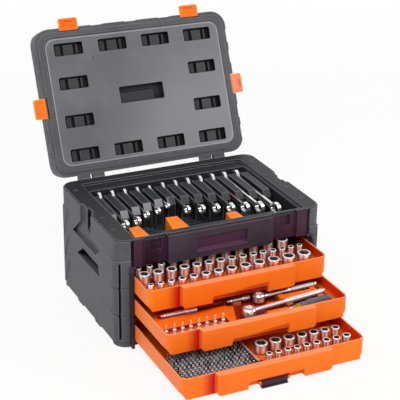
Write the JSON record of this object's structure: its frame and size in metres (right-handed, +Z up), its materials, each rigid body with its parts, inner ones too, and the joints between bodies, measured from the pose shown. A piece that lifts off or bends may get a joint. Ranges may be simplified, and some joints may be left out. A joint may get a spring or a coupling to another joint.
{
  "type": "socket wrench set in case",
  "caption": "Plastic tool case with a hinged lid, a top tray of wrenches and hex keys, and three stepped sliding drawers of chrome sockets, ratchets and driver bits.",
  "frame": {"origin": "on the flat underside, at the middle of the case body's footprint", "axes": "+Z up, +X to the right seen from the front, -Y to the front where the drawers slide out"},
  "size_m": [0.546, 0.8411, 0.6005],
  "materials": {
    "shell": "fine grained moulded plastic, mid grey",
    "tray": "fine grained moulded plastic, near black",
    "front": "fine grained moulded plastic, dark purple grey",
    "liner": "smooth moulded plastic, mid grey",
    "orange": "semi gloss orange plastic",
    "chrome": "polished chrome plate",
    "bit_steel": "satin bit steel",
    "black_steel": "black oxide",
    "black_plastic": "satin black plastic",
    "grip": "matte grey soft grip"
  },
  "bodies": {
    "case": {"side_panel_left": "shell", "side_panel_right": "shell", "back_wall": "shell", "floor_pan": "shell", "front_panel": "front", "drawer_runners": "shell", "tray_frame": "tray", "wrench_rack": "tray", "tray_screws": "black_steel", "hinge_pins": "black_steel", "wrench_01": "chrome", "wrench_02": "chrome", "wrench_03": "chrome", "wrench_04": "chrome", "wrench_05": "chrome", "wrench_06": "chrome", "wrench_07": "chrome", "wrench_08": "chrome", "wrench_09": "chrome", "wrench_10": "chrome", "wrench_11": "chrome", "wrench_12": "chrome", "key_holders": "orange", "hex_keys": "black_steel"},
    "lid": {"lid_shell": "shell", "lid_liner": "liner", "latch_pins": "chrome"},
    "latch_front_left": {"front_latch_left": "orange"},
    "latch_front_right": {"front_latch_right": "orange"},
    "latch_side_left": {"side_latch_left": "orange"},
    "latch_side_right": {"side_latch_right": "orange"},
    "top_drawer": {"upper_drawer": "orange", "upper_deck": "orange", "upper_front_sockets": "chrome", "upper_middle_sockets": "chrome", "upper_rear_sockets": "chrome"},
    "mid_drawer": {"middle_drawer": "orange", "middle_deck": "orange", "bit_sockets": "chrome", "bit_socket_tips": "bit_steel", "extension_bars": "chrome", "large_ratchet": "chrome", "small_ratchet": "chrome", "spinner_grip": "grip", "spinner_shaft": "chrome", "square_adapter": "chrome"},
    "large_lever": {"large_ratchet_lever": "chrome"},
    "large_drive": {"large_ratchet_drive": "chrome"},
    "small_lever": {"small_ratchet_lever": "chrome"},
    "small_drive": {"small_ratchet_drive": "chrome"},
    "low_drawer": {"lower_drawer": "orange", "lower_deck": "orange", "bit_case": "black_plastic", "driver_bits": "bit_steel", "bit_case_rail": "chrome", "tall_sockets": "chrome", "short_sockets": "chrome"},
    "catch": {"drawer_catch": "black_plastic"}
  },
  "joints": [
    {"name": "lid_hinge", "type": "hinge", "parent": "case", "child": "lid", "pos_m": [0, 0.1884, 0.246], "axis": [-1, 0, 0], "range_deg": [-113.3, 0]},
    {"name": "front_left_latch", "type": "hinge", "parent": "lid", "child": "latch_front_left", "pos_m": [-0.158, 0.35078, 0.575], "axis": [-1, 0, 0], "range_deg": [-90, 0]},
    {"name": "front_right_latch", "type": "hinge", "parent": "lid", "child": "latch_front_right", "pos_m": [0.158, 0.35078, 0.575], "axis": [-1, 0, 0], "range_deg": [-90, 0]},
    {"name": "left_latch", "type": "hinge", "parent": "lid", "child": "latch_side_left", "pos_m": [-0.246, 0.27919, 0.40877], "axis": [0, -0.3955, -0.9184], "range_deg": [-90, 0]},
    {"name": "right_latch", "type": "hinge", "parent": "lid", "child": "latch_side_right", "pos_m": [0.246, 0.27919, 0.40877], "axis": [0, 0.3955, 0.9184], "range_deg": [-90, 0]},
    {"name": "upper_drawer_slide", "type": "slide", "parent": "case", "child": "top_drawer", "axis": [0, -1, 0], "range_m": [-0.088, 0.175]},
    {"name": "middle_drawer_slide", "type": "slide", "parent": "case", "child": "mid_drawer", "axis": [0, -1, 0], "range_m": [-0.186, 0.077]},
    {"name": "lower_drawer_slide", "type": "slide", "parent": "case", "child": "low_drawer", "axis": [0, -1, 0], "range_m": [-0.263, 0]},
    {"name": "drawer_catch_hinge", "type": "hinge", "parent": "low_drawer", "child": "catch", "pos_m": [-0.008, -0.4514, 0.0136], "axis": [-1, 0, 0], "range_deg": [0, 16]},
    {"name": "large_drive_turn", "type": "hinge", "parent": "mid_drawer", "child": "large_drive", "pos_m": [-0.006, -0.327, 0.1], "axis": [0, 0, 1], "continuous": true},
    {"name": "large_lever_turn", "type": "hinge", "parent": "mid_drawer", "child": "large_lever", "pos_m": [-0.006, -0.327, 0.1], "axis": [0, 0, 1], "range_deg": [-22, 22]},
    {"name": "small_drive_turn", "type": "hinge", "parent": "mid_drawer", "child": "small_drive", "pos_m": [0.043, -0.277, 0.1], "axis": [0, 0, 1], "continuous": true},
    {"name": "small_lever_turn", "type": "hinge", "parent": "mid_drawer", "child": "small_lever", "pos_m": [0.043, -0.277, 0.1], "axis": [0, 0, 1], "range_deg": [-22, 22]}
  ]
}
